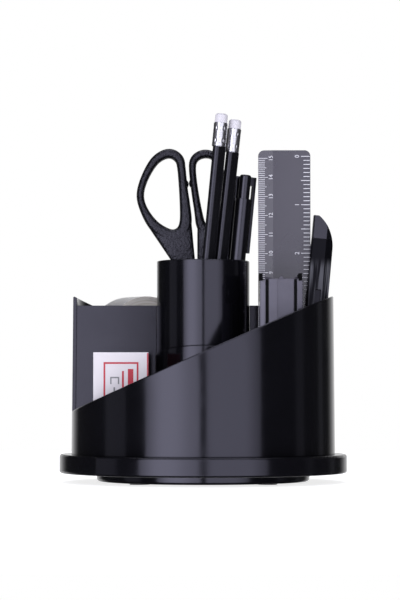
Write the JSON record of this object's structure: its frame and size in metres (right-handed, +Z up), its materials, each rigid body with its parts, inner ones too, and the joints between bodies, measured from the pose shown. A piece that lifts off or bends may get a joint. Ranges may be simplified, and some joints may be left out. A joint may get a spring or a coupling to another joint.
{
  "type": "revolving tool caddy",
  "caption": "Black round desk caddy on a swivel disc with a pen cup, slant-topped pockets and lift-out hobby tools: scissors, pencils, pens, ruler, stapler, knife, tape, staples.",
  "frame": {"origin": "on the table, under the swivel's axis", "axes": "+Z up along the swivel's axis, +X right and +Y away as seen from the front"},
  "size_m": [0.15, 0.153, 0.1923],
  "materials": {
    "black_gloss": "moulded gloss",
    "black_satin": "moulded satin",
    "dark_rubber": "matte",
    "nylon": "natural",
    "steel": "plain",
    "black_lacquer": "black lacquer",
    "graphite": "ground",
    "tin": "crimped",
    "white_rubber": "matte",
    "smoke_clear": "clear smoke",
    "clear_tape": "wound film",
    "core_card": "card",
    "white_card": "printed card"
  },
  "bodies": {
    "turntable": {"turntable_disc": "black_gloss", "foot_pads": "dark_rubber", "pivot_bush": "nylon", "glide_ring": "nylon"},
    "caddy": {"base_plate": "black_gloss", "pivot_washer": "steel", "pivot_screw": "steel", "front_wall": "black_gloss", "rear_wall": "black_gloss", "left_partition": "black_gloss", "right_partition": "black_gloss", "cup_collar": "black_gloss", "pen_cup": "black_gloss", "tape_shelf": "black_gloss", "collar_screws": "steel"},
    "scissors_right": {"scissors_right_blade": "steel", "scissors_right_handle": "black_satin", "scissors_pivot": "steel"},
    "scissors_left": {"scissors_left_blade": "steel", "scissors_left_handle": "black_satin"},
    "ruler": {"ruler": "smoke_clear"},
    "stapler": {"stapler_base": "black_gloss", "stapler_anvil": "steel", "stapler_pin": "steel"},
    "stapler_arm": {"stapler_magazine": "steel", "stapler_strip": "steel", "stapler_pusher": "black_satin", "stapler_cap": "black_gloss"},
    "knife": {"knife_body": "black_gloss", "knife_tail": "black_gloss"},
    "knife_blade": {"knife_blade": "steel", "knife_slider": "black_satin"},
    "tape": {"tape_core": "core_card", "tape_roll": "clear_tape"},
    "staple_box": {"staple_sleeve": "white_card"},
    "staple_tray": {"staple_tray": "white_card", "staple_strips": "steel"},
    "pencil_1": {"pencil_1_barrel": "black_lacquer", "pencil_1_lead": "graphite", "pencil_1_ferrule": "tin", "pencil_1_eraser": "white_rubber"},
    "pen_1": {"pen_1_barrel": "black_gloss", "pen_1_end_plug": "black_gloss", "pen_1_nib": "steel"},
    "pen_1_cap": {"pen_1_cap": "black_gloss", "pen_1_clip": "black_gloss"},
    "pencil_2": {"pencil_2_barrel": "black_lacquer", "pencil_2_lead": "graphite", "pencil_2_ferrule": "tin", "pencil_2_eraser": "white_rubber"},
    "pen_2": {"pen_2_barrel": "black_gloss", "pen_2_end_plug": "black_gloss", "pen_2_nib": "steel"},
    "pen_2_cap": {"pen_2_cap": "black_gloss", "pen_2_clip": "black_gloss"}
  },
  "joints": [
    {"name": "swivel", "type": "hinge", "parent": "turntable", "child": "caddy", "pos_m": [0, 0, 0.0046], "axis": [0, 0, 1], "continuous": true},
    {"name": "scissors_lift", "type": "slide", "parent": "caddy", "child": "scissors_right", "axis": [-0.0837, 0, 0.9965], "range_m": [0, 0.1]},
    {"name": "scissors_open", "type": "hinge", "parent": "scissors_right", "child": "scissors_left", "pos_m": [-0.00294, 0.0052, 0.09852], "axis": [0, -1, 0], "range_deg": [0, 7.5]},
    {"name": "pencil_1_lift", "type": "slide", "parent": "caddy", "child": "pencil_1", "axis": [0.0957, 0, 0.9954], "range_m": [0, 0.1]},
    {"name": "pencil_2_lift", "type": "slide", "parent": "caddy", "child": "pencil_2", "axis": [0.109, 0, 0.994], "range_m": [0, 0.1]},
    {"name": "pen_1_lift", "type": "slide", "parent": "caddy", "child": "pen_1", "axis": [0.076, 0, 0.9971], "range_m": [0, 0.1]},
    {"name": "pen_1_cap_pull", "type": "slide", "parent": "pen_1", "child": "pen_1_cap", "axis": [0.076, 0, 0.9971], "range_m": [0, 0.05]},
    {"name": "pen_2_lift", "type": "slide", "parent": "caddy", "child": "pen_2", "axis": [0.0955, 0.0208, 0.9952], "range_m": [0, 0.1]},
    {"name": "pen_2_cap_pull", "type": "slide", "parent": "pen_2", "child": "pen_2_cap", "axis": [0.0955, 0.0208, 0.9952], "range_m": [0, 0.05]},
    {"name": "ruler_lift", "type": "slide", "parent": "caddy", "child": "ruler", "axis": [0, 0, 1], "range_m": [0, 0.085]},
    {"name": "stapler_lift", "type": "slide", "parent": "caddy", "child": "stapler", "axis": [0, 0, 1], "range_m": [0, 0.085]},
    {"name": "stapler_press", "type": "hinge", "parent": "stapler", "child": "stapler_arm", "pos_m": [0.03955, -0.028, 0.099], "axis": [1, 0, 0], "range_deg": [0, 4.5], "stiffness_Nm_per_rad": 0.5, "springref_deg": -2.86},
    {"name": "knife_lift", "type": "slide", "parent": "caddy", "child": "knife", "axis": [0.0906, 0, 0.9959], "range_m": [0, 0.09]},
    {"name": "knife_blade_slide", "type": "slide", "parent": "knife", "child": "knife_blade", "axis": [-0.0906, 0, -0.9959], "range_m": [0, 0.008]},
    {"name": "tape_lift", "type": "slide", "parent": "caddy", "child": "tape", "axis": [0, 0, 1], "range_m": [0, 0.065]},
    {"name": "staple_box_lift", "type": "slide", "parent": "caddy", "child": "staple_box", "axis": [0, 0, 1], "range_m": [0, 0.06]},
    {"name": "staple_tray_slide", "type": "slide", "parent": "staple_box", "child": "staple_tray", "axis": [0, 0, 1], "range_m": [0, 0.045]}
  ]
}
